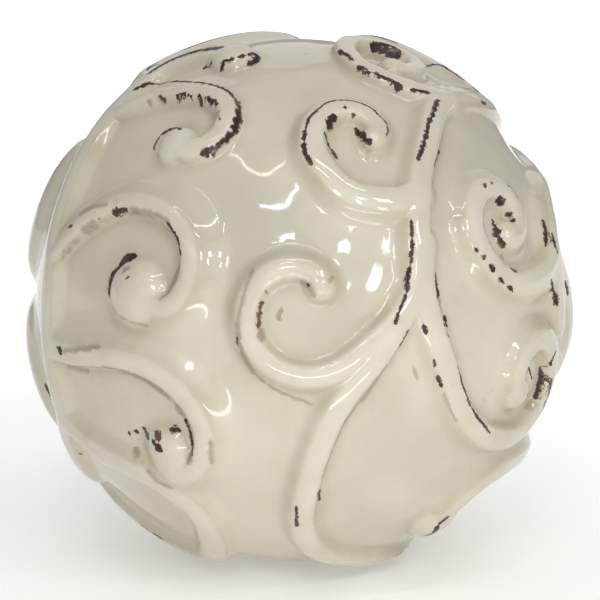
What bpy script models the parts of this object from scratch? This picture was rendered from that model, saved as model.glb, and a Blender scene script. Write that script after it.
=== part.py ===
"""Decorative sphere: a glazed ceramic ball wrapped in raised scroll bands, resting on a flat spot."""

import math
from collections import namedtuple

import bpy
import numpy as np

for thing in list(bpy.data.objects):
    bpy.data.objects.remove(thing, do_unlink=True)

# Sizes in metres
BALL_RADIUS = 0.0573
RELIEF = 0.0024
CROWN = 0.00045
DISH = 0.0008
DISH_SPREAD = 0.0036
BAND_WIDTH = 0.0045
WALL = 0.0013
SLOPE = 0.0032
COVE = 0.0062
STEEP = 0.002
KNOB_RISE = 0.0007
KNOB_ROUND = 0.0008
BUTTON = 0.0026
BOSS = 0.0044
DOME = 0.0058
FOOT_RADIUS = 0.011

# Degrees down from the top over which the bands die away into the bare underside
FADE_FROM = 150.0
FADE_TO = 162.0

# Fineness of the mesh
BALL_SUBDIVISIONS = 8
TRIANGLES = 9200
LINE_STEP = 0.006
CROWD_STEP = 0.0018
BLEND = 16

# Colour of the glaze, linear
GLAZE_COLOUR = (0.552, 0.513, 0.415, 1.0)
GLAZE_ROUGHNESS = 0.28

# A place is (east, north) in degrees: east 0 faces the front and grows to the right,
# north 90 is the top. A band follows its lead places, then may wind about an eye and
# end in a knob. Its flanks are the runs of its left and right sides down to the ground: one
# shorter than STEEP drops like a wall, a longer one swells out gently.
Curl = namedtuple("Curl", "eye bearing sweep reach ease")
Band = namedtuple("Band", "lead curl tip widths flanks knob")


def rail(lead, widths=(1.0, 1.0), flanks=(SLOPE, SLOPE), knob=0.0):
    return Band(lead, None, None, widths, flanks, knob)


def scroll(lead, curl, tip=None, widths=(1.0, 0.9), flanks=(COVE, WALL), knob=BOSS):
    return Band(lead, curl, tip, widths, flanks, knob)


def peel(lead, eye, sweep, reach, knob=BOSS):
    """A scroll that leaves its rail on a straight run tangent to its own curl."""
    flanks = (COVE, WALL) if sweep > 0 else (WALL, COVE)
    return Band(lead, Curl(eye, None, sweep, reach, 1.0), None, (0.9, 0.9), flanks, knob)


BANDS = {
    # Front: one long S-shaped stem with a curl above its top and one at its foot
    "stem": scroll(
        [(62, 53), (50, 50.5), (38, 43), (30, 33.5), (26.5, 22), (26.3, 11), (30, -1.5),
         (35, -12), (42, -18.5), (50, -21.6)],
        Curl((56.8, -9.4), 178, -300, (12.6, 5.0), 0.8),
        widths=(1.0, 0.95), flanks=(WALL, SLOPE), knob=0.8 * BOSS),
    "centre": scroll(
        [(27, 22), (25, 15), (20.5, 8.5)],
        Curl((0.4, 10.1), 122, 262, (14.9, 7.2), 0.84), tip=(4.6, 14.4),
        widths=(0.95, 0.8), flanks=(SLOPE, WALL), knob=BUTTON),
    "throat": rail(
        [(25, 13), (18, 3), (8, -10), (3, -25), (1.5, -40), (7, -51), (20, -58), (46, -63),
         (80, -66)],
        widths=(0.85, 1.0), flanks=(WALL, SLOPE)),
    "brow": scroll(
        [(29, 32), (24, 31)],
        Curl((17.5, 46.4), 198, 272, (13.9, 3.3), 0.62),
        widths=(1.15, 0.85), flanks=(SLOPE, WALL), knob=0.9 * BUTTON),
    # Front left: three short scrolls off the side rail
    "temple": scroll(
        [(-75, 46), (-66, 49), (-57, 53)],
        Curl((-32.2, 46.7), -33, 244, (11.5, 4.2), 0.6),
        widths=(0.6, 1.0), flanks=(WALL, WALL), knob=0.95 * BOSS),
    "cheek": scroll(
        [(-63, 14), (-56, 21)],
        Curl((-32.5, 15), -30, 162, (16.2, 8.0), 0.62), tip=(-35.2, 11.2),
        widths=(0.7, 0.8), knob=1.18 * DOME),
    "jaw": scroll(
        [(-61.5, -4), (-54, -4)],
        Curl((-31.1, -18.9), -16, 177, (17.3, 8.0), 0.75), tip=(-28.9, -21.4),
        widths=(0.8, 0.9), knob=0.85 * DOME),
    "crown_left": rail(
        [(-77, 54), (-77, 62), (-66, 68.5), (-45, 71)],
        flanks=(WALL, WALL), knob=0.85 * DOME),
    "side_left": rail([(-77, 54), (-74, 45), (-66, 24), (-62, 4), (-62, -20)]),
    "chin_left": rail(
        [(-62, -20), (-50, -25), (-35, -29), (-26, -37), (-27, -49), (-42, -62), (-70, -66)]),
    # Front right: an ear beside the stem, a rail below it and a curl at the crown
    "ear": scroll(
        [(70, 14), (64, 11)],
        Curl((51.8, 23.8), 182, 351, (12.9, 3.1), 0.77),
        widths=(1.15, 0.85), flanks=(SLOPE, WALL), knob=1.1 * BUTTON),
    "crown_right": scroll(
        [(62, 53), (52, 55), (42, 59.5)],
        Curl((60, 67.5), 270, 320, (10.6, 4.5), 1.0),
        widths=(1.0, 0.8), flanks=(WALL, WALL), knob=BUTTON),
    "side_right": rail(
        [(125, 33), (116, 30), (105, 27.5), (94, 26), (83, 25.5), (75, 21), (70, 14), (69, -1)],
        flanks=(COVE, SLOPE)),
    "chin_right": rail(
        [(98, -36), (86, -34), (75, -32), (63, -31.5), (52, -34), (46, -40), (46, -46)],
        widths=(1.0, 1.1), knob=DOME),
    # Right side and the right half of the back
    "flank_right": peel([(75, 21), (71, 15)], (102, -4), -270, (14, 6)),
    "haunch_right": peel([(100, 26.7), (109, 28)], (120, 8), 235, (10, 5)),
    "back_stem": rail(
        [(62, 53), (84, 49), (104, 42), (120, 36), (130, 30), (138, 18), (139, 4), (130, -16),
         (113, -31), (98, -36)]),
    "back_crown": peel([(84, 49), (96, 45.5)], (122, 60), 280, (11, 5.5)),
    "back_high": peel([(112, 39.3), (120, 36)], (152, 41), 270, (13, 6)),
    "back_centre": peel([(138, 18), (140, 9)], (168, 6), -255, (15.5, 7), 0.85 * DOME),
    "back_low": peel([(139, 4), (136.5, -6)], (160, -29), 240, (12.5, 6)),
    # Left half of the back
    "back_rail": rail(
        [(-77, 54), (-103, 56), (-124, 45), (-135, 24), (-135, 4), (-127, -13), (-110, -30),
         (-84, -39), (-62, -20)]),
    "back_top": peel([(-90, 56.5), (-99, 56.5)], (-156, 58), -250, (12, 5.5)),
    "back_ear": peel([(-130, 37), (-134, 29)], (-158, 26), -260, (11, 5)),
    "back_far": peel([(-136, 16), (-135.5, 7)], (-159, -13), -250, (13, 6)),
    "flank_left": peel([(-135, 4), (-136, 12)], (-104, 16), 265, (16, 7)),
    "hip_left": peel([(-135, 4), (-132, -5)], (-99, -20), 230, (15.5, 6.5)),
    # Underside: short bands that run down towards the bare foot
    "keel_left": rail([(-100, -36), (-84, -48), (-66, -59), (-42, -62)], widths=(1.0, 0.8)),
    "keel_back": peel([(-123, -18), (-116, -26)], (-150, -50), -250, (13, 6)),
    "keel_right": peel([(128, -19), (123, -26)], (115, -52), 235, (10, 5)),
}


def direction(place):
    east, north = np.radians(place)
    return np.array([
        math.sin(east) * math.cos(north),
        -math.cos(east) * math.cos(north),
        math.sin(north),
    ])


def compass(place):
    """The two directions along the ball at a place: towards the top, and to the right."""
    east, north = np.radians(place)
    up = np.array([
        -math.sin(east) * math.sin(north),
        math.cos(east) * math.sin(north),
        math.cos(north),
    ])
    right = np.array([math.cos(east), math.sin(east), 0.0])
    return up, right


def about(eye, bearing, reach):
    """The place that lies reach degrees from an eye, on a bearing clockwise from the top."""
    up, right = compass(eye)
    turn, far = np.radians((bearing, reach))
    return math.cos(far) * direction(eye) + math.sin(far) * (
        math.cos(turn) * up + math.sin(turn) * right)


def tangent_bearing(place, curl):
    """The bearing from which a curl starts so that a run from the place flows into it."""
    up, right = compass(curl.eye)
    towards = direction(place)
    away = math.acos(np.clip(direction(curl.eye) @ towards, -1.0, 1.0))
    bearing = math.degrees(math.atan2(towards @ right, towards @ up))
    lean = math.acos(min(1.0, math.tan(math.radians(curl.reach[0])) / math.tan(away)))
    return bearing + math.copysign(math.degrees(lean), curl.sweep)


def smooth_line(points):
    """A rounded line over the ball through the points, in even short steps."""
    whole = np.vstack([2 * points[0] - points[1], points, 2 * points[-1] - points[-2]])
    line = []
    for a, b, c, d in zip(whole, whole[1:], whole[2:], whole[3:]):
        gaps = [math.sqrt(max(np.linalg.norm(q - p), 1e-6)) for p, q in ((a, b), (b, c), (c, d))]
        ta, tb, tc, td = np.cumsum([0.0] + gaps)
        steps = max(2, int(np.linalg.norm(c - b) / LINE_STEP))
        for t in np.linspace(tb, tc, steps, endpoint=False):
            ab = (a * (tb - t) + b * (t - ta)) / (tb - ta)
            bc = (b * (tc - t) + c * (t - tb)) / (tc - tb)
            cd = (c * (td - t) + d * (t - tc)) / (td - tc)
            abc = (ab * (tc - t) + bc * (t - ta)) / (tc - ta)
            bcd = (bc * (td - t) + cd * (t - tb)) / (td - tb)
            line.append((abc * (tc - t) + bcd * (t - tb)) / (tc - tb))
    line = np.array(line + [points[-1]])
    return line / np.linalg.norm(line, axis=1, keepdims=True)


def centreline(band):
    points = [direction(place) for place in band.lead]
    curl = band.curl
    if curl:
        start = curl.bearing
        if start is None:
            start = tangent_bearing(band.lead[-1], curl)
        steps = max(4, round(abs(curl.sweep) / 30))
        for step in range(steps + 1):
            share = step / steps
            reach = curl.reach[0] + (curl.reach[1] - curl.reach[0]) * share ** curl.ease
            points.append(about(curl.eye, start + curl.sweep * share, reach))
    if band.tip:
        points.append(direction(band.tip))
    return smooth_line(np.array(points))


def distances_along(line):
    return np.concatenate([[0.0], np.cumsum(np.linalg.norm(np.diff(line, axis=0), axis=1))])


def band_height(band, line, spots):
    """The height of one band over the ground at each spot, spots being directions."""
    ahead = np.gradient(line, axis=0)
    ahead /= np.linalg.norm(ahead, axis=1, keepdims=True)
    right = np.cross(ahead, line)
    share = distances_along(line)
    share /= share[-1]
    radius = BALL_RADIUS + RELIEF / 2
    near = np.argmax(spots @ line.T, axis=1)
    across = np.einsum("ij,ij->i", spots, right[near]) * radius
    past = np.einsum("ij,ij->i", spots, ahead[near]) * radius
    past = np.where(near == 0, -past, np.where(near == len(line) - 1, past, 0.0))
    off = np.hypot(across, np.maximum(past, 0.0))
    half = BAND_WIDTH / 2 * np.interp(share[near], (0.0, 1.0), band.widths)
    flank = np.where(across > 0, band.flanks[1], band.flanks[0])
    down = np.clip((off - half) / flank, 0.0, 1.0)
    fall = (1 - down) ** 2 * np.where(flank > STEEP, 1 + 2 * down, 1.0)
    height = RELIEF * fall + CROWN * np.clip(1 - (off / half) ** 2, 0.0, 1.0)
    if band.knob:
        reach = np.linalg.norm(spots - line[-1], axis=1) * radius / (band.knob + KNOB_ROUND)
        height = blend(height, (RELIEF + KNOB_RISE) * np.clip(1 - reach ** 3, 0.0, 1.0))
    return height


def blend(a, b):
    """The greater of two heights, with a small swell where they are alike."""
    return (a ** BLEND + b ** BLEND) ** (1 / BLEND)


def crowding(line, spots):
    """How strongly one band fills its neighbourhood: 1 on the middle of a lone band."""
    along = distances_along(line) * BALL_RADIUS
    count = max(2, int(along[-1] / CROWD_STEP))
    even = np.linspace(0.0, along[-1], count)
    beads = np.stack([np.interp(even, along, line[:, axis]) for axis in range(3)])
    gap = (2 - 2 * spots @ beads) * BALL_RADIUS ** 2
    weight = along[-1] / count / (DISH_SPREAD * math.sqrt(2 * math.pi))
    return np.exp(-gap / (2 * DISH_SPREAD ** 2)).sum(axis=1) * weight


def relief_over(spots):
    """The surface's height over the ball's radius: bands up, the ground between dished."""
    height = np.zeros(len(spots))
    crowd = np.zeros(len(spots))
    for band in BANDS.values():
        line = centreline(band)
        middle = line.mean(axis=0)
        middle /= np.linalg.norm(middle)
        reach = math.acos(np.clip((line @ middle).min(), -1.0, 1.0)) + 0.35
        close = np.nonzero(spots @ middle > math.cos(min(reach, math.pi)))[0]
        height[close] = blend(height[close], band_height(band, line, spots[close]))
        crowd[close] += crowding(line, spots[close])
    polar = np.degrees(np.arccos(np.clip(spots[:, 2], -1.0, 1.0)))
    fade = 1 - np.clip((polar - FADE_FROM) / (FADE_TO - FADE_FROM), 0.0, 1.0)
    fade = fade * fade * (3 - 2 * fade)
    return height * fade - DISH * np.exp(-3 * crowd * fade)


# The ball, its centre one foot height over the origin, which is the middle of the flat spot
FOOT_DROP = math.sqrt((BALL_RADIUS - DISH) ** 2 - FOOT_RADIUS ** 2)
bpy.ops.mesh.primitive_ico_sphere_add(subdivisions=BALL_SUBDIVISIONS, radius=1.0)
ball = bpy.context.object
ball.name = "scroll_sphere"
spots = np.empty(len(ball.data.vertices) * 3)
ball.data.vertices.foreach_get("co", spots)
spots = spots.reshape(-1, 3)
spots /= np.linalg.norm(spots, axis=1, keepdims=True)
surface = spots * (BALL_RADIUS + relief_over(spots))[:, None]
surface[:, 2] += FOOT_DROP
ball.data.vertices.foreach_set("co", surface.ravel())
ball.data.update()

thinning = ball.modifiers.new("thinning", "DECIMATE")
thinning.ratio = TRIANGLES / len(ball.data.polygons)

# The flat spot: everything below the origin is ground away
bpy.ops.mesh.primitive_cube_add(size=4 * FOOT_RADIUS, location=(0, 0, -2 * FOOT_RADIUS))
grinder = bpy.context.object
grinder.name = "grinder"
grinder.hide_render = True
grinder.display_type = "WIRE"
grind = ball.modifiers.new("flat_spot", "BOOLEAN")
grind.operation = "DIFFERENCE"
grind.solver = "EXACT"
grind.object = grinder

for face in ball.data.polygons:
    face.use_smooth = True

glaze = bpy.data.materials.new("glaze")
glaze.use_nodes = True
shader = glaze.node_tree.nodes["Principled BSDF"]
shader.inputs["Base Color"].default_value = GLAZE_COLOUR
shader.inputs["Roughness"].default_value = GLAZE_ROUGHNESS
shader.inputs["Metallic"].default_value = 0.0
shader.inputs["Coat Weight"].default_value = 0.5
shader.inputs["Coat Roughness"].default_value = 0.12
ball.data.materials.append(glaze)
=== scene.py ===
"""Looks of the glazed scroll ball: its fine relief, its worn cream glaze and its white table."""

import math
from collections import namedtuple

import bpy
import numpy as np
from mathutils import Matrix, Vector


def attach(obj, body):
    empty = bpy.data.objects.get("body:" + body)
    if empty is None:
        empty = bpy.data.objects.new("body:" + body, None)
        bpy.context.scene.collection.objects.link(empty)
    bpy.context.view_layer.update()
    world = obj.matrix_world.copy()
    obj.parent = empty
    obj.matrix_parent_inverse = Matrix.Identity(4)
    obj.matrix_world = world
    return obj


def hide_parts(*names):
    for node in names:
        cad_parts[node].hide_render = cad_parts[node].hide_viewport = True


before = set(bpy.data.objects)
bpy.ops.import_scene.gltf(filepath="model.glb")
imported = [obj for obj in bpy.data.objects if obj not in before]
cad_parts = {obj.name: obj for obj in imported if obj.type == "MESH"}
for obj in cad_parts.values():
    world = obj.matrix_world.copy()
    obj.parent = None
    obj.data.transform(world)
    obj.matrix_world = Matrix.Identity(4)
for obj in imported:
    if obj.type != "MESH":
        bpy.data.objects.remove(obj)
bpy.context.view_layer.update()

# The ball
# One slip-cast earthenware ball, its bands and knobs raised in the mould, dipped in an opaque
# cream glaze and wiped back while wet, so that the dark body shows through along the edges.

# The plain ball, how high its bands stand and swell along their middles, and how deep and how
# far out the ground between them dishes, all in metres
BALL_RADIUS = 0.0573
RELIEF = 0.0022
CROWN = 0.0004
DISH = 0.0008
DISH_SPREAD = 0.0036

# A band's width, how far out its sides run down to the ground, and the run below which they
# are steep
BAND_WIDTH = 0.0045
WALL = 0.0013
SLOPE = 0.0032
COVE = 0.0062
STEEP = 0.002

# How far a knob stands over its band, its rounded rim, and the radii of three kinds of knob
KNOB_RISE = 0.0007
KNOB_ROUND = 0.0008
BUTTON = 0.0026
BOSS = 0.0044
DOME = 0.0058

# The flat spot it stands on, and the ball's middle over it
FOOT_RADIUS = 0.011
FOOT_DROP = math.sqrt((BALL_RADIUS - DISH) ** 2 - FOOT_RADIUS ** 2)

# Degrees down from the top over which the bands die away into the bare underside
FADE_FROM = 150.0
FADE_TO = 162.0

# How finely a line is followed and how far around it a band can matter, on a ball of radius 1
LINE_STEP = 0.006
NEIGHBOURHOOD = 0.35

# How sharply two heights meet: the greater the number, the smaller the swell between them
BLEND = 16

# The ground dishes less where bands crowd it: how finely they are counted, in metres, and how
# much the crowding tells
CROWD_STEP = 0.0018
CROWD_FILL = 3

# A distance from all bands that is well clear of them, in metres
CLEAR = 0.02

# A place is (east, north) in degrees: east 0 faces the front and grows to the right,
# north 90 is the top. A band follows its lead places, then may wind about an eye and
# end in a knob. Its flanks are the runs of its left and right sides down to the ground: one
# shorter than STEEP drops like a wall, a longer one swells out gently.
Curl = namedtuple("Curl", "eye bearing sweep reach ease")
Band = namedtuple("Band", "lead curl tip widths flanks knob")


def rail(lead, widths=(1.0, 1.0), flanks=(SLOPE, SLOPE), knob=0.0):
    return Band(lead, None, None, widths, flanks, knob)


def scroll(lead, curl, tip=None, widths=(1.0, 0.9), flanks=(COVE, WALL), knob=BOSS):
    return Band(lead, curl, tip, widths, flanks, knob)


def peel(lead, eye, sweep, reach, knob=BOSS):
    """A scroll that leaves its rail on a straight run tangent to its own curl."""
    flanks = (COVE, WALL) if sweep > 0 else (WALL, COVE)
    return Band(lead, Curl(eye, None, sweep, reach, 1.0), None, (0.9, 0.9), flanks, knob)


BANDS = {
    # Front: one long S-shaped stem with a curl above its top and one at its foot
    "stem": scroll(
        [(62, 53), (50, 50.5), (38, 43), (30, 33.5), (26.5, 22), (26.3, 11), (30, -1.5),
         (35, -12), (42, -18.5), (50, -21.6)],
        Curl((56.8, -9.4), 178, -300, (12.6, 5.0), 0.8),
        widths=(1.0, 0.95), flanks=(WALL, SLOPE), knob=0.8 * BOSS),
    "centre": scroll(
        [(27, 22), (25, 15), (20.5, 8.5)],
        Curl((0.4, 10.1), 122, 262, (14.9, 7.2), 0.84), tip=(4.6, 14.4),
        widths=(0.95, 0.8), flanks=(SLOPE, WALL), knob=BUTTON),
    "throat": rail(
        [(25, 13), (18, 3), (8, -10), (3, -25), (1.5, -40), (7, -51), (20, -58), (46, -63),
         (80, -66)],
        widths=(0.85, 1.0), flanks=(WALL, SLOPE)),
    "brow": scroll(
        [(29, 32), (24, 31)],
        Curl((17.5, 46.4), 198, 272, (13.9, 3.3), 0.62),
        widths=(1.15, 0.85), flanks=(SLOPE, WALL), knob=0.9 * BUTTON),
    # Front left: three short scrolls off the side rail
    "temple": scroll(
        [(-75, 46), (-66, 49), (-57, 53)],
        Curl((-32.2, 46.7), -33, 244, (11.5, 4.2), 0.6),
        widths=(0.6, 1.0), flanks=(WALL, WALL), knob=0.95 * BOSS),
    "cheek": scroll(
        [(-63, 14), (-56, 21)],
        Curl((-32.5, 15), -30, 162, (16.2, 8.0), 0.62), tip=(-35.2, 11.2),
        widths=(0.7, 0.8), knob=1.18 * DOME),
    "jaw": scroll(
        [(-61.5, -4), (-54, -4)],
        Curl((-31.1, -18.9), -16, 177, (17.3, 8.0), 0.75), tip=(-28.9, -21.4),
        widths=(0.8, 0.9), knob=0.85 * DOME),
    "crown_left": rail(
        [(-77, 54), (-77, 62), (-66, 68.5), (-45, 71)],
        flanks=(WALL, WALL), knob=0.85 * DOME),
    "side_left": rail([(-77, 54), (-74, 45), (-66, 24), (-62, 4), (-62, -20)]),
    "chin_left": rail(
        [(-62, -20), (-50, -25), (-35, -29), (-26, -37), (-27, -49), (-42, -62), (-70, -66)]),
    # Front right: an ear beside the stem, a rail below it and a curl at the crown
    "ear": scroll(
        [(70, 14), (64, 11)],
        Curl((51.8, 23.8), 182, 351, (12.9, 3.1), 0.77),
        widths=(1.15, 0.85), flanks=(SLOPE, WALL), knob=1.1 * BUTTON),
    "crown_right": scroll(
        [(62, 53), (52, 55), (42, 59.5)],
        Curl((60, 67.5), 270, 320, (10.6, 4.5), 1.0),
        widths=(1.0, 0.8), flanks=(WALL, WALL), knob=BUTTON),
    "side_right": rail(
        [(125, 33), (116, 30), (105, 27.5), (94, 26), (83, 25.5), (75, 21), (70, 14), (69, -1)],
        flanks=(COVE, SLOPE)),
    "chin_right": rail(
        [(98, -36), (86, -34), (75, -32), (63, -31.5), (52, -34), (46, -40), (46, -46)],
        widths=(1.0, 1.1), knob=DOME),
    # Right side and the right half of the back
    "flank_right": peel([(75, 21), (71, 15)], (102, -4), -270, (14, 6)),
    "haunch_right": peel([(100, 26.7), (109, 28)], (120, 8), 235, (10, 5)),
    "back_stem": rail(
        [(62, 53), (84, 49), (104, 42), (120, 36), (130, 30), (138, 18), (139, 4), (130, -16),
         (113, -31), (98, -36)]),
    "back_crown": peel([(84, 49), (96, 45.5)], (122, 60), 280, (11, 5.5)),
    "back_high": peel([(112, 39.3), (120, 36)], (152, 41), 270, (13, 6)),
    "back_centre": peel([(138, 18), (140, 9)], (168, 6), -255, (15.5, 7), 0.85 * DOME),
    "back_low": peel([(139, 4), (136.5, -6)], (160, -29), 240, (12.5, 6)),
    # Left half of the back
    "back_rail": rail(
        [(-77, 54), (-103, 56), (-124, 45), (-135, 24), (-135, 4), (-127, -13), (-110, -30),
         (-84, -39), (-62, -20)]),
    "back_top": peel([(-90, 56.5), (-99, 56.5)], (-156, 58), -250, (12, 5.5)),
    "back_ear": peel([(-130, 37), (-134, 29)], (-158, 26), -260, (11, 5)),
    "back_far": peel([(-136, 16), (-135.5, 7)], (-159, -13), -250, (13, 6)),
    "flank_left": peel([(-135, 4), (-136, 12)], (-104, 16), 265, (16, 7)),
    "hip_left": peel([(-135, 4), (-132, -5)], (-99, -20), 230, (15.5, 6.5)),
    # Underside: short bands that run down towards the bare foot
    "keel_left": rail([(-100, -36), (-84, -48), (-66, -59), (-42, -62)], widths=(1.0, 0.8)),
    "keel_back": peel([(-123, -18), (-116, -26)], (-150, -50), -250, (13, 6)),
    "keel_right": peel([(128, -19), (123, -26)], (115, -52), 235, (10, 5)),
}


def direction(place):
    east, north = np.radians(place)
    return np.array([
        math.sin(east) * math.cos(north),
        -math.cos(east) * math.cos(north),
        math.sin(north),
    ])


def compass(place):
    """The two directions along the ball at a place: towards the top, and to the right."""
    east, north = np.radians(place)
    up = np.array([
        -math.sin(east) * math.sin(north),
        math.cos(east) * math.sin(north),
        math.cos(north),
    ])
    right = np.array([math.cos(east), math.sin(east), 0.0])
    return up, right


def about(eye, bearing, reach):
    """The place that lies reach degrees from an eye, on a bearing clockwise from the top."""
    up, right = compass(eye)
    turn, far = np.radians((bearing, reach))
    return math.cos(far) * direction(eye) + math.sin(far) * (
        math.cos(turn) * up + math.sin(turn) * right)


def tangent_bearing(place, curl):
    """The bearing from which a curl starts so that a run from the place flows into it."""
    up, right = compass(curl.eye)
    towards = direction(place)
    away = math.acos(np.clip(direction(curl.eye) @ towards, -1.0, 1.0))
    bearing = math.degrees(math.atan2(towards @ right, towards @ up))
    lean = math.acos(min(1.0, math.tan(math.radians(curl.reach[0])) / math.tan(away)))
    return bearing + math.copysign(math.degrees(lean), curl.sweep)


def smooth_line(points):
    """A rounded line over the ball through the points, in even short steps."""
    whole = np.vstack([2 * points[0] - points[1], points, 2 * points[-1] - points[-2]])
    line = []
    for a, b, c, d in zip(whole, whole[1:], whole[2:], whole[3:]):
        gaps = [math.sqrt(max(np.linalg.norm(q - p), 1e-6)) for p, q in ((a, b), (b, c), (c, d))]
        ta, tb, tc, td = np.cumsum([0.0] + gaps)
        steps = max(2, int(np.linalg.norm(c - b) / LINE_STEP))
        for t in np.linspace(tb, tc, steps, endpoint=False):
            ab = (a * (tb - t) + b * (t - ta)) / (tb - ta)
            bc = (b * (tc - t) + c * (t - tb)) / (tc - tb)
            cd = (c * (td - t) + d * (t - tc)) / (td - tc)
            abc = (ab * (tc - t) + bc * (t - ta)) / (tc - ta)
            bcd = (bc * (td - t) + cd * (t - tb)) / (td - tb)
            line.append((abc * (tc - t) + bcd * (t - tb)) / (tc - tb))
    line = np.array(line + [points[-1]])
    return line / np.linalg.norm(line, axis=1, keepdims=True)


def centreline(band):
    points = [direction(place) for place in band.lead]
    curl = band.curl
    if curl:
        start = curl.bearing
        if start is None:
            start = tangent_bearing(band.lead[-1], curl)
        steps = max(4, round(abs(curl.sweep) / 30))
        for step in range(steps + 1):
            share = step / steps
            reach = curl.reach[0] + (curl.reach[1] - curl.reach[0]) * share ** curl.ease
            points.append(about(curl.eye, start + curl.sweep * share, reach))
    if band.tip:
        points.append(direction(band.tip))
    return smooth_line(np.array(points))


def distances_along(line):
    return np.concatenate([[0.0], np.cumsum(np.linalg.norm(np.diff(line, axis=0), axis=1))])


def headings(line):
    """The direction in which a line runs at each of its points."""
    ahead = np.gradient(line, axis=0)
    return ahead / np.linalg.norm(ahead, axis=1, keepdims=True)


def along_and_off(line, spots):
    """For each spot the nearest point of a line, how far right of it, and how far past its ends."""
    ahead = headings(line)
    near = np.argmax(spots @ line.T, axis=1)
    across = np.einsum("ij,ij->i", spots, np.cross(ahead, line)[near])
    past = np.einsum("ij,ij->i", spots, ahead[near])
    past = np.where(near == 0, -past, np.where(near == len(line) - 1, past, 0.0))
    return near, across, np.maximum(past, 0.0)


def blend(a, b):
    """The greater of two heights, with a small swell where they are alike."""
    return (a ** BLEND + b ** BLEND) ** (1 / BLEND)


def crowding(line, spots):
    """How strongly one band fills its neighbourhood: 1 on the middle of a lone band."""
    along = distances_along(line) * BALL_RADIUS
    count = max(2, int(along[-1] / CROWD_STEP))
    even = np.linspace(0.0, along[-1], count)
    beads = np.stack([np.interp(even, along, line[:, axis]) for axis in range(3)])
    gap = (2 - 2 * spots @ beads) * BALL_RADIUS ** 2
    weight = along[-1] / count / (DISH_SPREAD * math.sqrt(2 * math.pi))
    return np.exp(-gap / (2 * DISH_SPREAD ** 2)).sum(axis=1) * weight


# How the photo was taken: the lens's distance from the ball's middle and its rise over it, the
# lens and its sensor, and where the ball's middle shows, in pixels from the left and the top
CAMERA_RANGE = 0.6
CAMERA_RISE = math.radians(12)
LENS_MM = 165.7
SENSOR_MM = 36
PHOTO_PIXELS = 600
BALL_PIXEL = (297.5, 300.0)
RAY_STEPS = 120

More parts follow.
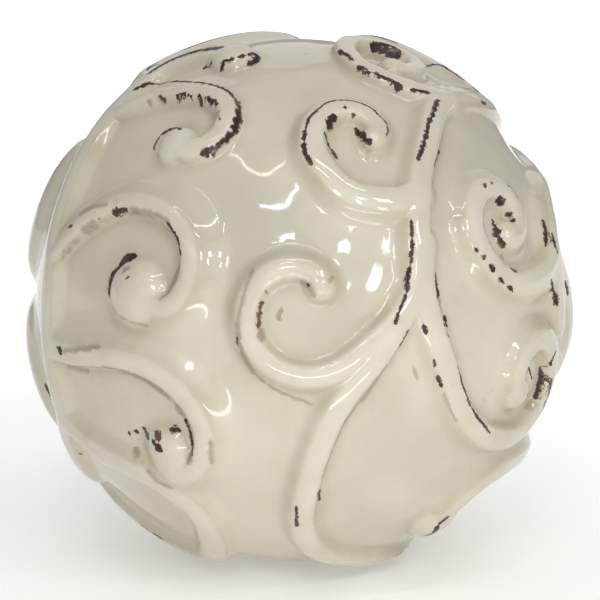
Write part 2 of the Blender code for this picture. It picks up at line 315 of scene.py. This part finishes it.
# Marks in the glaze, traced over the photo, from the top down. Each is the width of a
# stroke in millimetres and the pixels that it runs through. Worn ones are rubbed to the dark
# body, rusted ones are thin and brown, and darkened ones are olive along the bands' feet, partly
# glaze pooled there and partly painted shade.
WORN = [
    (0.7, [(203.5, 70), (206.5, 66.5)]), (0.7, [(209, 66), (212, 63.5)]),
    (0.9, [(221, 70), (224, 61)]), (0.7, [(226.5, 61), (233.5, 59)]),
    (0.6, [(238.5, 58.5), (245, 56)]), (0.6, [(248.5, 56.5), (256, 54)]),
    (0.7, [(338.5, 50), (353.5, 61)]), (0.8, [(357.5, 65), (370, 73.5)]),
    (0.8, [(371.5, 71.5), (385, 78.5)]), (0.37, [(415, 55), (450, 69), (465, 78.5)]),
    (1.1, [(371, 47), (384, 50), (398, 58)]),
    (0.5, [(131, 91), (140, 87.5), (152, 84), (170, 82), (190, 82), (206, 83.5), (218, 86.5),
           (230, 93)]),
    (0.5, [(160, 96), (161, 99)]), (0.8, [(160.5, 136), (166, 131.5), (173, 129), (181, 129.5)]),
    (0.6, [(163.5, 101), (166, 99)]), (1, [(177, 96), (180, 100)]), (0.8, [(183, 93), (186, 97)]),
    (0.6, [(190, 94), (193, 101)]), (0.9, [(200, 92), (202.5, 106)]),
    (0.8, [(208, 96), (212, 104)]), (0.6, [(214, 99), (218, 107)]),
    (1, [(215, 149), (208, 152), (202, 155)]), (0.6, [(220, 118.5), (221.5, 120)]),
    (0.8, [(230, 93), (237, 102), (240, 110)]), (0.6, [(233, 134), (225, 143), (217, 148)]),
    (1, [(240, 112), (237.5, 122), (234, 132)]), (0.8, [(304, 140), (305.5, 130)]),
    (0.5, [(305.5, 128), (310, 117), (317.5, 109.5)]),
    (0.35, [(317.5, 109.5), (327, 103), (339, 100.5), (350, 101), (360.5, 103.5)]),
    (0.35, [(323.5, 96), (324.5, 96.5)]), (0.8, [(326, 139), (325, 134)]),
    (1.3, [(328, 128), (331, 120), (336, 115)]), (0.5, [(344.5, 106.5), (345.5, 109)]),
    (0.7, [(352, 114.5), (354, 117)]), (1, [(355.5, 129), (360, 135), (364, 140)]),
    (0.5, [(360.5, 103.5), (371, 108), (378.5, 115.5)]), (0.9, [(365, 140.5), (370, 144)]),
    (0.9, [(386.5, 78.5), (401.5, 88.5)]), (0.6, [(410, 90), (430, 93.5)]),
    (0.9, [(427.5, 130), (424, 143), (418.5, 160)]), (0.9, [(438.5, 100), (426.5, 128.5)]),
    (0.35, [(99, 218.5), (100, 219.5)]), (0.9, [(113.5, 214), (120, 210)]),
    (0.6, [(121.5, 211.5), (126.5, 208.5)]), (0.35, [(153.5, 152), (155.5, 145), (160, 136.5)]),
    (0.5, [(167, 222), (174, 232), (179, 243), (180.5, 256)]),
    (0.8, [(311.5, 166), (304, 150), (304, 143)]), (0.5, [(337.5, 160), (331, 150), (327.5, 143)]),
    (0.5, [(411, 220), (412, 238)]), (0.6, [(439, 151), (434.5, 166)]),
    (0.8, [(484, 187), (486, 184)]), (0.5, [(490, 183.5), (493, 183)]),
    (0.9, [(492.5, 219), (493, 226)]), (0.8, [(496.5, 198.5), (501, 205)]),
    (0.7, [(506.5, 213), (508, 217)]), (0.6, [(511, 220), (512.5, 222)]),
    (0.8, [(543, 220), (544.5, 230), (545, 246)]), (0.5, [(68.5, 226.5), (72.5, 226.5)]),
    (1.1, [(119, 268), (114, 275), (111, 285), (109.5, 296)]), (0.35, [(126, 279), (131, 276)]),
    (2.2, [(135, 257), (127, 260), (120, 267)]), (0.5, [(307.5, 284), (309, 286)]),
    (0.6, [(405.5, 294.5), (399, 312.5), (394.5, 325.5)]), (0.7, [(409, 267.5), (406.5, 292.5)]),
    (0.6, [(412, 240), (410, 263.5)]), (0.6, [(435.5, 272.5), (439, 298)]),
    (0.6, [(436, 275), (438.5, 300)]), (0.5, [(437.5, 283.5), (437.5, 298.5)]),
    (0.7, [(475, 248.5), (478, 252)]), (1, [(481.5, 254), (485, 259.5)]),
    (0.9, [(488.5, 264.5), (494, 272)]), (0.35, [(493.5, 292), (494.5, 292.5)]),
    (1, [(494, 229), (496, 236)]), (0.8, [(497, 276.5), (504, 283)]),
    (0.9, [(498, 239), (502.5, 247.5)]), (0.6, [(506, 262.5), (511, 268), (517, 272)]),
    (0.9, [(507, 286), (513.5, 291)]), (0.9, [(551, 280.5), (552.5, 290)]),
    (1.2, [(554, 294), (557, 304.5)]), (0.6, [(29, 300), (30, 310), (31, 321)]),
    (1.1, [(57.5, 347.5), (61.5, 353.5)]), (0.35, [(108, 317.5), (108.5, 317.5)]),
    (0.35, [(237.5, 336.5), (237.5, 347.5)]), (0.7, [(423.5, 325), (426, 333.5)]),
    (0.3, [(433, 331), (433.5, 331.5)]), (0.4, [(433.5, 359), (433.5, 366.5)]),
    (0.6, [(444, 316.5), (446.5, 326.5)]), (0.6, [(444, 316), (444, 326.5)]),
    (0.6, [(448.5, 333.5), (451.5, 345)]),
    (0.5, [(457.5, 365), (465, 393.5), (473.5, 411.5), (490, 433.5)]),
    (0.5, [(531, 362), (530, 372), (532, 380)]),
    (0.6, [(539, 367), (539.5, 378), (537, 388), (533, 398)]),
    (0.5, [(556, 350), (553, 358), (551, 366)]), (0.8, [(33.5, 388), (38, 401), (43.5, 412)]),
    (0.9, [(129, 432), (130, 434)]), (1.3, [(135.5, 430.5), (138.5, 431.5)]),
    (1, [(143, 427.5), (145.5, 428)]), (1.3, [(146, 433), (149, 438)]),
    (1, [(153, 441), (154, 443)]), (1.7, [(157, 445), (161, 451)]), (0.9, [(172, 428), (181, 430)]),
    (0.8, [(177, 423), (178, 425)]), (0.6, [(185, 417), (190, 430), (192, 440), (191.5, 456)]),
    (0.7, [(436.5, 375), (441.5, 386.5)]), (0.7, [(546, 400), (543.5, 408), (542, 414)]),
    (0.7, [(551.5, 377), (550, 388), (547.5, 397)]), (0.5, [(80, 453.5), (81.5, 454)]),
    (0.6, [(296, 506), (297, 528)]), (0.5, [(319, 490), (319.5, 500)]),
    (0.35, [(347.5, 497), (348.5, 497.5)]), (0.9, [(439, 524), (445, 519), (450, 515)]),
    (1.2, [(422, 540), (431, 534), (438, 526)]),
]
RUSTED = [
    (0.5, [(378, 42), (392, 46), (403, 55)]),
    (0.4, [(378.5, 115.5), (385, 122), (387.5, 129), (386, 137)]),
    (0.4, [(506, 184.5), (513, 190), (518.5, 199)]), (0.5, [(265.5, 290), (267.5, 294.5)]),
    (0.7, [(262.5, 301), (260, 314.5), (258.5, 327.5)]), (0.7, [(408, 330), (400, 346)]),
    (1.5, [(156, 433), (160, 438)]),
]
DARKENED = [
    (0.9, [(148, 101), (151, 103)]), (0.8, [(158, 96), (163, 100)]),
    (0.7, [(218, 109), (219, 118)]), (0.31, [(431.5, 86.5), (453.5, 91.5), (476.5, 93.5)]),
    (0.8, [(80, 214), (92, 208), (108, 204)]), (0.8, [(130, 209), (150, 213), (164, 219)]),
    (1, [(165, 219), (173, 229)]), (0.9, [(83.5, 231.5), (86.5, 226.5)]),
    (0.9, [(89, 226), (93.5, 221.5)]), (0.37, [(110, 298.5), (126.5, 320), (148.5, 326.5)]),
    (1.2, [(122, 272), (130, 268)]), (0.37, [(180, 253.5), (173.5, 283.5), (160, 301.5)]),
    (0.5, [(246.5, 287.5), (237.5, 322)]), (0.4, [(253.5, 269), (246.5, 287.5)]),
    (0.7, [(301, 282), (308, 285.5), (314.5, 296.5)]), (0.5, [(328, 283.5), (333.5, 276.5)]),
    (0.5, [(439, 298), (448, 336.5)]), (0.4, [(498.5, 253.5), (503, 260)]),
    (0.9, [(64, 351), (84, 349), (100, 347)]), (0.8, [(68, 366), (90, 371)]),
    (0.9, [(103, 367), (125, 371), (146, 380), (160, 390), (170, 398)]),
    (1, [(237.5, 322), (239, 336.5), (242.5, 352.5), (255.5, 374.5)]),
    (0.5, [(255.5, 374.5), (279, 391), (312, 404.5)]), (1.1, [(259, 329), (262, 340)]),
    (1, [(277.5, 322), (282.5, 307.5)]),
    (0.37, [(400, 346), (366, 394), (346, 420), (332, 450), (322, 478)]),
    (0.5, [(413, 366), (416, 380)]), (1.2, [(135, 446), (139, 455)]),
    (0.9, [(176, 404), (184, 416)]), (0.8, [(211, 440), (212, 463)]),
    (0.31, [(443.5, 392.5), (445, 398.5), (456.5, 421.5)]),
    (0.5, [(532, 400), (528, 405), (524, 407)]), (0.9, [(148, 470), (160, 482), (172, 487)]),
    (1.1, [(191, 457), (188, 463)]),
]


def on_ball(strokes):
    """Carries strokes from the photo onto the ball, along the rays of the camera."""
    back = np.array([0.0, -math.cos(CAMERA_RISE), math.sin(CAMERA_RISE)])
    up = np.array([0.0, math.sin(CAMERA_RISE), math.cos(CAMERA_RISE)])
    pixels = np.array([pixel for width, path in strokes for pixel in path])
    aside, down = ((pixels - BALL_PIXEL) * SENSOR_MM / LENS_MM / PHOTO_PIXELS).T
    rays = aside[:, None] * (1.0, 0.0, 0.0) - down[:, None] * up - back
    rays /= np.linalg.norm(rays, axis=1, keepdims=True)
    # Short steps along each ray, from where the bands may begin to where it is nearest the middle
    nearest = -CAMERA_RANGE * rays @ back
    miss = CAMERA_RANGE ** 2 - nearest ** 2
    reach = np.sqrt(np.maximum((BALL_RADIUS + RELIEF + KNOB_RISE) ** 2 - miss, 0.0))
    far = nearest[:, None] - reach[:, None] * np.linspace(1.0, 0.0, RAY_STEPS)
    points = CAMERA_RANGE * back + far[:, :, None] * rays[:, None]
    radius = np.linalg.norm(points, axis=2)
    spots = points / radius[:, :, None]
    # The first step that is under the glaze, or the lowest one of a ray that just misses the ball
    above = radius - BALL_RADIUS - look_over(spots.reshape(-1, 3)).height.reshape(radius.shape)
    met = np.where(above.min(axis=1) > 0, above.argmin(axis=1), (above <= 0).argmax(axis=1))
    places = iter(spots[np.arange(len(spots)), met])
    return [(width, np.array([next(places) for pixel in path])) for width, path in strokes]


def beside(line, lengths, off):
    """Points beside a line over the ball, at some lengths along it and off to its right."""
    along = distances_along(line)
    steps = np.searchsorted(along, np.minimum(lengths, along[-1]))
    points = line[steps] + off * np.cross(headings(line), line)[steps]
    return points / np.linalg.norm(points, axis=1, keepdims=True)


def worn_along(band):
    """A few dabs of wear along the shoulders of a band that the photo doesn't show."""
    line = centreline(band)
    length = distances_along(line)[-1]
    shoulder = BAND_WIDTH / 2 / BALL_RADIUS
    strokes = []
    for start in dice.uniform(0.05, 0.9 * length, int(3 + 5 * length)):
        lengths = start + np.linspace(0.0, dice.uniform(0.03, 0.12), 4)
        off = dice.choice((-1.0, 1.0)) * dice.uniform(0.75, 1.0) * shoulder
        points = beside(line, lengths, off)
        if len(np.unique(points, axis=0)) == len(points):
            strokes.append((dice.uniform(0.3, 1.1), points))
    return strokes


def worn_crown():
    """Wear that runs along the crest of the band over the crown, and round its knob."""
    band = BANDS["crown_left"]
    line = centreline(band)
    length = distances_along(line)[-1]
    strokes = []
    for width, start, end in ((1.5, 0.12, 0.42), (1.7, 0.44, 0.68), (1.5, 0.70, 0.90)):
        lengths = np.linspace(start, end, 4) * length
        strokes.append((width, beside(line, lengths, 0.0002 / BALL_RADIUS)))
    round_knob = [about(band.lead[-1], bearing, 5.3) for bearing in (52, 70, 88, 104)]
    return strokes + [(0.8, np.array(round_knob))]


# Millimetres: the radius at which the strokes are measured, how far beyond its edges a stroke
# still tells, and the offset where none does. Only strokes with a point within SAME_PATCH of a
# spot, as a cosine, are measured from there
SKIN_RADIUS = 1000 * BALL_RADIUS + 1.2
STROKE_REACH = 0.75
NOWHERE = 9.0
SAME_PATCH = 0.99


def marked(strokes, spots):
    """Across each spot's nearest stroke: the offset from its middle, and its half width, in mm."""
    offset = np.full(len(spots), NOWHERE)
    half = np.full(len(spots), -NOWHERE)
    depth = np.full(len(spots), -STROKE_REACH)
    for width, points in strokes:
        path = smooth_line(points)
        some = path[:: max(1, len(path) // 8)]
        close = np.nonzero((spots @ some.T).max(axis=1) > SAME_PATCH)[0]
        if not len(close):
            continue
        near, across, past = along_and_off(path, spots[close])
        across = across * SKIN_RADIUS
        half_here = width / 2 - past * SKIN_RADIUS
        depth_here = half_here - np.abs(across)
        nearer = depth_here > depth[close]
        offset[close[nearer]] = across[nearer]
        half[close[nearer]] = half_here[nearer]
        depth[close[nearer]] = depth_here[nearer]
    return offset, half


Look = namedtuple("Look", "height edge creased")

# How strongly an olive crease lies below a band's left and right shoulders, partly glaze pooled
# there and partly painted shade, and how far below them it lies
CREASES = {
    "stem": (0.15, 0.1), "centre": (0.0, 0.12), "throat": (0.2, 0.1), "brow": (0.1, 0.2),
    "temple": (0.3, 0.1), "cheek": (0.0, 0.5), "jaw": (0.0, 0.5), "ear": (0.1, 0.15),
    "chin_left": (0.25, 0.0), "side_left": (0.2, 0.2),
}
FAINT_CREASES = (0.1, 0.1)
CREASE = 0.0005


def band_look(title, band, line, spots):
    """What one band does at each spot: its height, the distance past its shoulder, its crease."""
    share = distances_along(line)
    share /= share[-1]
    radius = BALL_RADIUS + RELIEF / 2
    near, across, past = along_and_off(line, spots)
    off = np.hypot(across, past) * radius
    half = BAND_WIDTH / 2 * np.interp(share[near], (0.0, 1.0), band.widths)
    flank = np.where(across > 0, band.flanks[1], band.flanks[0])
    down = np.clip((off - half) / flank, 0.0, 1.0)
    fall = (1 - down) ** 2 * np.where(flank > STEEP, 1 + 2 * down, 1.0)
    height = RELIEF * fall + CROWN * np.clip(1 - (off / half) ** 2, 0.0, 1.0)
    edge = off - half
    left, right = CREASES.get(title, FAINT_CREASES)
    creased = np.exp(-((edge - CREASE) / CREASE) ** 2)
    creased *= np.where(across > 0, right, left) * (past * radius < 2 * CREASE)
    if band.knob:
        from_knob = np.linalg.norm(spots - line[-1], axis=1) * radius
        reach = from_knob / (band.knob + KNOB_ROUND)
        height = blend(height, (RELIEF + KNOB_RISE) * np.clip(1 - reach ** 3, 0.0, 1.0))
        creased = np.where(from_knob < band.knob, 0.0, creased)
        edge = np.minimum(edge, from_knob - band.knob)
    return Look(height, edge, creased)


def look_over(spots):
    """The whole ball's look at each spot: bands up, the ground between them dished."""
    height = np.zeros(len(spots))
    edge = np.full(len(spots), CLEAR)
    creased = np.zeros(len(spots))
    crowd = np.zeros(len(spots))
    for title, band in BANDS.items():
        line = centreline(band)
        middle = line.mean(axis=0)
        middle /= np.linalg.norm(middle)
        reach = math.acos(np.clip((line @ middle).min(), -1.0, 1.0)) + NEIGHBOURHOOD
        close = np.nonzero(spots @ middle > math.cos(min(reach, math.pi)))[0]
        look = band_look(title, band, line, spots[close])
        crowd[close] += crowding(line, spots[close])
        # A crease stops where another band's top covers it
        creased[close] = np.where(look.edge < 0, 0.0, creased[close])
        creased[close] = np.where(
            edge[close] < 0, creased[close], np.maximum(creased[close], look.creased))
        height[close] = blend(height[close], look.height)
        edge[close] = np.minimum(edge[close], look.edge)
    polar = np.degrees(np.arccos(np.clip(spots[:, 2], -1.0, 1.0)))
    fade = 1 - np.clip((polar - FADE_FROM) / (FADE_TO - FADE_FROM), 0.0, 1.0)
    fade = fade * fade * (3 - 2 * fade)
    height = height * fade - DISH * np.exp(-CROWD_FILL * crowd * fade)
    return Look(height, edge + CLEAR * (1 - fade), creased * fade)


def split_edges(spots, faces, wanted):
    """Halves each edge that has both ends wanted, and splits the triangles that share it."""
    ends = np.sort(faces[:, [[0, 1], [1, 2], [2, 0]]], axis=2).reshape(-1, 2)
    edges, which = np.unique(ends, axis=0, return_inverse=True)
    halved = wanted[edges].all(axis=1)
    number = np.full(len(edges), -1)
    number[halved] = len(spots) + np.arange(halved.sum())
    middles = spots[edges[halved]].sum(axis=1)
    middles /= np.linalg.norm(middles, axis=1, keepdims=True)
    mid = number[which.reshape(-1, 3)]
    cuts = (mid >= 0).sum(axis=1)
    made = [faces[cuts == 0]]
    whole = faces[cuts == 3]
    m = mid[cuts == 3]
    made += [np.stack(t, 1) for t in (
        (whole[:, 0], m[:, 0], m[:, 2]), (m[:, 0], whole[:, 1], m[:, 1]),
        (m[:, 2], m[:, 1], whole[:, 2]), (m[:, 0], m[:, 1], m[:, 2]))]
    for turn in range(3):
        corner = np.roll(faces, -turn, axis=1)
        cut = np.roll(mid, -turn, axis=1)
        one = (cuts == 1) & (cut[:, 0] >= 0)
        a, b, c, ab = corner[one, 0], corner[one, 1], corner[one, 2], cut[one, 0]
        made += [np.stack((a, ab, c), 1), np.stack((ab, b, c), 1)]
        two = (cuts == 2) & (cut[:, 2] < 0)
        a, b, c = corner[two].T
        ab, bc = cut[two, 0], cut[two, 1]
        made += [np.stack((ab, b, bc), 1), np.stack((a, ab, bc), 1), np.stack((a, bc, c), 1)]
    return np.vstack([spots, middles]), np.vstack(made)


# The mesh is twice as fine round the sides of the bands, in metres from their shoulders, and
# round the strokes, in millimetres from their edges. Its underside is flat, a hair over the table
FINE_SIDES = (-0.0009, 0.0018)
FINE_STROKES = 1.0
STANDING_GAP = 0.00005

bpy.ops.mesh.primitive_ico_sphere_add(subdivisions=7, radius=1.0)
ball = bpy.context.object
ball.name = "glazed_ball"
mesh = ball.data
spots = np.empty(len(mesh.vertices) * 3)
mesh.vertices.foreach_get("co", spots)
spots = spots.reshape(-1, 3)
spots /= np.linalg.norm(spots, axis=1, keepdims=True)
faces = np.empty(len(mesh.polygons) * 3, int)
mesh.polygons.foreach_get("vertices", faces)
faces = faces.reshape(-1, 3)

dice = np.random.default_rng(11)
titles = list(BANDS)
worn = on_ball(WORN) + worn_crown()
for title in titles[titles.index("flank_right"):]:
    worn += worn_along(BANDS[title])
rusted = on_ball(RUSTED)
look = look_over(spots)
offset, half = marked(worn + rusted, spots)
wanted = (look.edge > FINE_SIDES[0]) & (look.edge < FINE_SIDES[1])
wanted |= half - np.abs(offset) > -FINE_STROKES
spots, faces = split_edges(spots, faces, wanted)
look = look_over(spots)

surface = spots * (BALL_RADIUS + look.height)[:, None]
surface[:, 2] += FOOT_DROP
surface[:, 2] = np.maximum(surface[:, 2], STANDING_GAP)
mesh = bpy.data.meshes.new("glazed_ball")
mesh.from_pydata(surface.tolist(), [], faces.tolist())
mesh.update()
ball.data = mesh
mesh.polygons.foreach_set("use_smooth", np.ones(len(mesh.polygons), bool))

# What the glaze reads at each point of the mesh: lengths are in millimetres
figures = {"edge": look.edge * 1000, "creased": look.creased}
for title, strokes in (("worn", worn), ("rusted", rusted), ("dark", on_ball(DARKENED))):
    figures[title + "_offset"], figures[title + "_half"] = marked(strokes, spots)
for title, values in figures.items():
    layer = mesh.attributes.new(title, "FLOAT", "POINT")
    layer.data.foreach_set("value", values.astype(np.float32))

glaze = bpy.data.materials.new("glaze")
glaze.use_nodes = True
nodes = glaze.node_tree.nodes
links = glaze.node_tree.links
shader = nodes["Principled BSDF"]


def feed(socket, value):
    """Joins a socket to another node's output, or sets it to a plain value."""
    if isinstance(value, bpy.types.NodeSocket):
        links.new(value, socket)
    else:
        socket.default_value = value


def attribute(title):
    node = nodes.new("ShaderNodeAttribute")
    node.attribute_name = title
    return node.outputs["Fac"]


def noise(scale, detail=3.0, roughness=0.55):
    node = nodes.new("ShaderNodeTexNoise")
    node.inputs["Scale"].default_value = scale
    node.inputs["Detail"].default_value = detail
    node.inputs["Roughness"].default_value = roughness
    links.new(coordinates.outputs["Object"], node.inputs["Vector"])
    return node.outputs["Fac"]


def reckon(operation, *values):
    node = nodes.new("ShaderNodeMath")
    node.operation = operation
    for socket, value in zip(node.inputs, values):
        feed(socket, value)
    return node.outputs[0]


def times(a, b):
    return reckon("MULTIPLY", a, b)


def ramp(value, low, high, to_low=0.0, to_high=1.0):
    """Runs smoothly from one level to another as the value goes from low to high."""
    node = nodes.new("ShaderNodeMapRange")
    node.interpolation_type = "SMOOTHSTEP"
    levels = {"Value": value, "From Min": low, "From Max": high, "To Min": to_low, "To Max": to_high}
    for title, level in levels.items():
        feed(node.inputs[title], level)
    return node.outputs["Result"]


def tint(base, colour, share):
    """Lays a colour over another, as strongly as the share says."""
    node = nodes.new("ShaderNodeMix")
    node.data_type = "RGBA"
    for title, value in (("Factor", share), ("A", base), ("B", colour)):
        feed(node.inputs[title], value)
    return node.outputs["Result"]


# The glaze and its paler shade, the stains in it, and the fired body under it. On the band
# tops the paler shade is partly a painted highlight, and the tan and olive at the bands' feet and
# creases are partly painted shade
CREAM = (0.605, 0.565, 0.455, 1)
IVORY = (0.68, 0.655, 0.57, 1)
TAN = (0.45, 0.385, 0.265, 1)
SAGE = (0.43, 0.425, 0.335, 1)
OLIVE = (0.20, 0.165, 0.095, 1)
RUST = (0.105, 0.030, 0.016, 1)
BODY = (0.018, 0.010, 0.008, 1)

# Clouds and flecks in the glaze, and the dabs and grain that fray the edges of the marks
coordinates = nodes.new("ShaderNodeTexCoord")
edge = attribute("edge")
cloud = noise(70, 4, 0.6)
flecks = noise(260, 4, 0.65)
dabs = ramp(noise(1100, 4, 0.7), 0.36, 0.64, -1.0, 1.0)
grain = ramp(noise(3200, 2, 0.6), 0.38, 0.62, -1.0, 1.0)
ragged = reckon("ADD", times(dabs, 0.26), times(grain, 0.10))


def inside(title, raggedness=1.0):
    """How far inside the nearest stroke of one kind a spot lies, in mm, with ragged edges."""
    half = attribute(title + "_half")
    depth = reckon("SUBTRACT", half, reckon("ABSOLUTE", attribute(title + "_offset")))
    tatter = ramp(half, 0.15, 0.5, 0.4 * raggedness, raggedness)
    return reckon("ADD", depth, times(ragged, tatter))


# Cream that turns tan in clouds, cooler on the ground, paler on the bands and tan at their feet;
# the paler band tops are partly a painted highlight, and the tan feet are partly painted shade
colour = tint(CREAM, TAN, ramp(cloud, 0.35, 0.75, 0.0, 0.30))
colour = tint(colour, SAGE, times(ramp(noise(26, 3), 0.48, 0.66, 0.0, 0.38), ramp(edge, -0.5, 1.5)))
# Paler band tops: partly paler glaze, partly a painted highlight
colour = tint(colour, IVORY, times(ramp(edge, 0.6, -1.2), ramp(noise(110, 3), 0.35, 0.7, 0.0, 0.5)))
# Tan at the bands' feet: partly glaze pooled thick there, partly painted shade
below = times(ramp(edge, -0.2, 0.6), ramp(edge, 3.6, 1.0))
colour = tint(colour, TAN, times(below, ramp(cloud, 0.3, 0.7, 0.15, 0.55)))
colour = tint(colour, OLIVE, times(ramp(flecks, 0.62, 0.72), ramp(noise(45, 2), 0.5, 0.7, 0.0, 0.25)))

# Creases, partly pooled glaze and partly painted shade, and marks, the worn ones with a rusty rim
# and a few glints of glaze left in them
creased = times(attribute("creased"), ramp(noise(160, 3), 0.3, 0.62))
colour = tint(colour, OLIVE, ramp(reckon("ADD", creased, times(dabs, 0.06)), 0.08, 0.75, 0.0, 0.85))
# Olive of the darkened strokes, partly pooled glaze and partly painted shade
colour = tint(colour, OLIVE, ramp(inside("dark", 0.5), -0.75, 0.5, 0.0, 0.6))
colour = tint(colour, RUST, ramp(inside("rusted"), -0.15, 0.10, 0.0, 0.92))
rubbed = inside("worn")
colour = tint(colour, RUST, ramp(rubbed, -0.22, 0.0, 0.0, 0.8))
glints = ramp(reckon("ADD", flecks, times(grain, 0.10)), 0.60, 0.64, 1.0, 0.25)
bare = times(ramp(rubbed, -0.04, 0.08), glints)
colour = tint(colour, BODY, bare)

# Glassy where glazed and dull where bare
links.new(colour, shader.inputs["Base Color"])
links.new(ramp(bare, 0.0, 1.0, 0.06, 0.5), shader.inputs["Roughness"])
shader.inputs["IOR"].default_value = 1.5
shader.inputs["Metallic"].default_value = 0.0

# The glaze lies a little uneven, and the bare marks are a shade lower than it
swell = nodes.new("ShaderNodeBump")
swell.inputs["Strength"].default_value = 0.09
swell.inputs["Distance"].default_value = 0.0006
links.new(noise(110, 2), swell.inputs["Height"])
pitted = nodes.new("ShaderNodeBump")
pitted.inputs["Strength"].default_value = 0.5
pitted.inputs["Distance"].default_value = 0.00025
links.new(ramp(bare, 0.0, 1.0, 1.0, 0.0), pitted.inputs["Height"])
links.new(swell.outputs["Normal"], pitted.inputs["Normal"])
links.new(pitted.outputs["Normal"], shader.inputs["Normal"])
mesh.materials.append(glaze)
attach(ball, "root")
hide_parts("scroll_sphere")

# The table
# A smooth white tabletop that runs back far behind the ball, only there to be photographed on.
# It is overexposed as in the photo, so it glows, and more so the farther back it lies.
TABLE_WIDTH = 6
TABLE_GAP = 0.0002
GLOW_DEPTHS = (-0.02, 0.5)
GLOWS = (0.24, 0.74)

bpy.ops.mesh.primitive_plane_add(size=TABLE_WIDTH, location=(0, 0, -TABLE_GAP))
table = bpy.context.object
table.name = "table"
table_white = bpy.data.materials.new("table_white")
table_white.use_nodes = True
table_nodes = table_white.node_tree.nodes
table_links = table_white.node_tree.links
table_shader = table_nodes["Principled BSDF"]
table_shader.inputs["Base Color"].default_value = (0.9, 0.9, 0.89, 1)
table_shader.inputs["Roughness"].default_value = 0.6
table_shader.inputs["Emission Color"].default_value = (1.0, 1.0, 1.0, 1)
tabletop = table_nodes.new("ShaderNodeNewGeometry")
axes = table_nodes.new("ShaderNodeSeparateXYZ")
glow = table_nodes.new("ShaderNodeMapRange")
table_links.new(tabletop.outputs["Position"], axes.inputs["Vector"])
table_links.new(axes.outputs["Y"], glow.inputs["Value"])
for title, level in zip(("From Min", "From Max", "To Min", "To Max"), GLOW_DEPTHS + GLOWS):
    glow.inputs[title].default_value = level
table_links.new(glow.outputs["Result"], table_shader.inputs["Emission Strength"])
table.data.materials.append(table_white)

# The light
# A bright white room. The glaze mirrors its windows and its skylights as small sharp highlights,
# and three large dim panels fill in the shadows from the front, the back and the ceiling.
ROOM_LIGHT = 0.3
WINDOW_RANGE = 1.2
GLINT_RANGE = 0.2

world = bpy.data.worlds.new("studio")
bpy.context.scene.world = world
world.use_nodes = True
room = world.node_tree.nodes["Background"]
room.inputs["Color"].default_value = (1.0, 1.0, 1.0, 1)
room.inputs["Strength"].default_value = ROOM_LIGHT


def wash(title, place, width, height, watts):
    """A panel of light that faces the ball."""
    light = bpy.data.lights.new(title, "AREA")
    light.shape = "RECTANGLE"
    light.size = width
    light.size_y = height
    light.energy = watts
    lamp = bpy.data.objects.new(title, light)
    bpy.context.scene.collection.objects.link(lamp)
    lamp.location = place
    away = lamp.location - Vector((0, 0, FOOT_DROP))
    lamp.rotation_euler = away.to_track_quat("Z", "Y").to_euler()


def window(title, place, degrees, brightness, far=WINDOW_RANGE):
    """A bright panel at an (east, north) place in the room, by the angles that it spans there."""
    width, height = (2 * far * math.tan(math.radians(angle) / 2) for angle in degrees)
    middle = Vector(direction(place)) * far + Vector((0, 0, FOOT_DROP))
    wash(title, middle, width, height, brightness * math.pi * width * height)


window("window_wide", (-12, 50.5), (14, 1.3), 20)
window("window_left", (-5, 32), (9, 7), 11)
window("window_mid", (26, 34), (5, 5), 14)
window("window_inner", (20, 26), (3.5, 6), 14)
window("window_right", (41, 36), (7, 9), 12)
window("window_low", (33, 15.5), (5, 5.5), 12)
window("skylight", (20, 64), (34, 2.2), 12)
window("skylight_left", (-32, 63), (36, 0.9), 12)
window("table_glint", (6, -14), (36, 3.5), 9, GLINT_RANGE)
wash("front_wash", (0.35, -2.1, 1.3), 2.2, 1.6, 10.5)
wash("back_wash", (0.2, 2.1, 1.3), 2.2, 1.6, 6)
wash("ceiling_wash", (0.0, 0.1, 2.2), 3.0, 3.0, 9)
bpy.context.scene.view_settings.view_transform = "Standard"
bpy.context.scene.view_settings.exposure = 0.0

# The camera
# It stands six tenths of a metre from the ball's middle and looks down on it a little, as it
# did for the photo. The ball lies a hair left of the middle of the picture.
camera = bpy.data.objects.new("camera", bpy.data.cameras.new("camera"))
bpy.context.scene.collection.objects.link(camera)
bpy.context.scene.camera = camera
camera.location = (
    0.0,
    -CAMERA_RANGE * math.cos(CAMERA_RISE),
    FOOT_DROP + CAMERA_RANGE * math.sin(CAMERA_RISE),
)
camera.rotation_euler = (math.radians(90) - CAMERA_RISE, 0, 0)
camera.data.sensor_width = SENSOR_MM
camera.data.lens = LENS_MM
camera.data.shift_x = 0.5 - BALL_PIXEL[0] / PHOTO_PIXELS
camera.data.shift_y = 0.0
